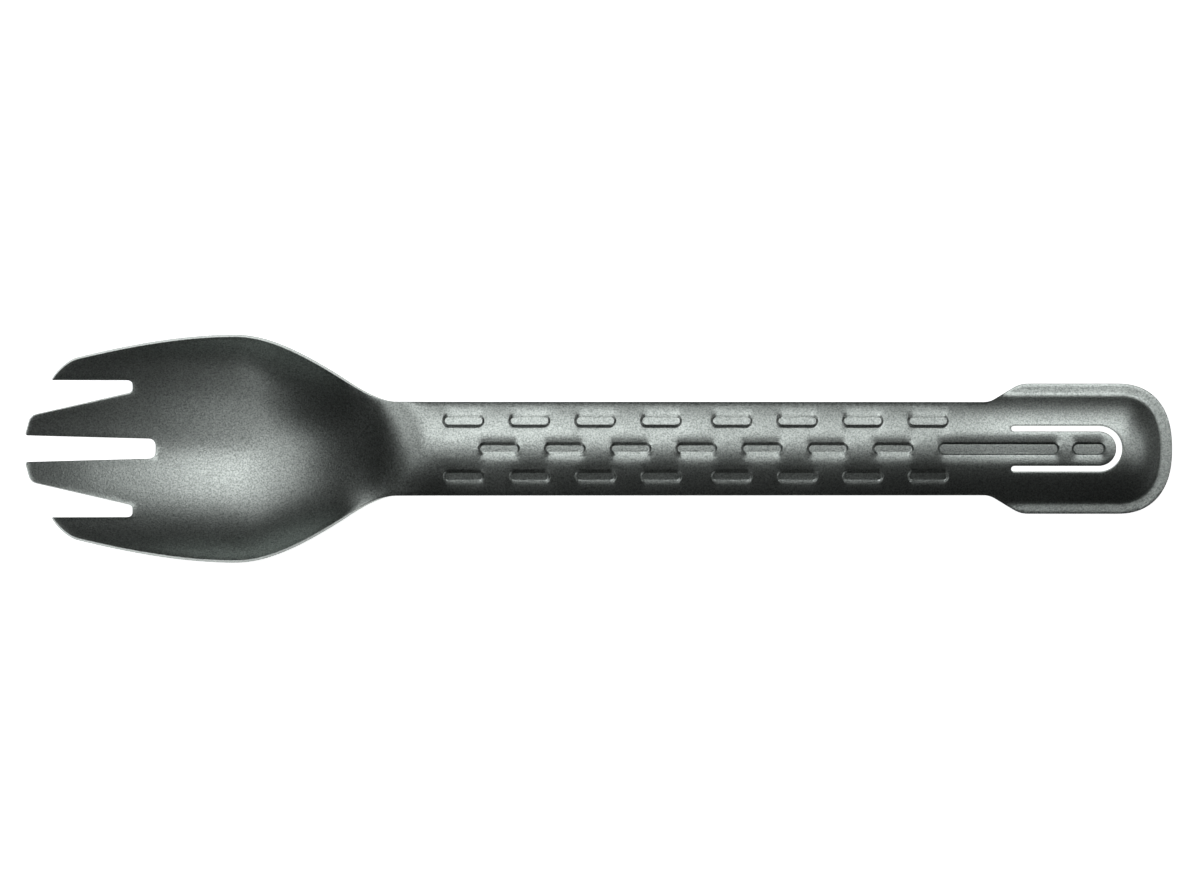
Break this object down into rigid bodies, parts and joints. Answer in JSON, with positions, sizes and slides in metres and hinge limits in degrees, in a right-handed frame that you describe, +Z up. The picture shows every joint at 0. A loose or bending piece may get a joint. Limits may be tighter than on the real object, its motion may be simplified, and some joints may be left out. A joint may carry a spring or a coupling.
{
  "type": "camping fork",
  "caption": "Pressed sheet-metal camping fork: a tined bowl, an arched handle with pressed grip dashes, and a brimmed tail whose sprung tongue clips a second arm on to make tongs.",
  "frame": {"origin": "middle of the fork's length and width, on the surface that it lies on", "axes": "+X from the tines to the tail, +Z up out of the bowl, Y = 0 is the plane of symmetry"},
  "size_m": [0.208, 0.0414, 0.0125],
  "materials": {
    "anodised_aluminium": "bead-blasted and hard-anodised dark grey, satin"
  },
  "bodies": {
    "fork": {"fork_body": "anodised_aluminium"},
    "tongue": {"spring_tongue": "anodised_aluminium"}
  },
  "joints": [
    {"name": "tongue_flex", "type": "hinge", "parent": "fork", "child": "tongue", "pos_m": [0.07537, 0, 0.00291], "axis": [0, -1, 0], "range_deg": [-2.5, 2.5], "stiffness_Nm_per_rad": 5}
  ]
}
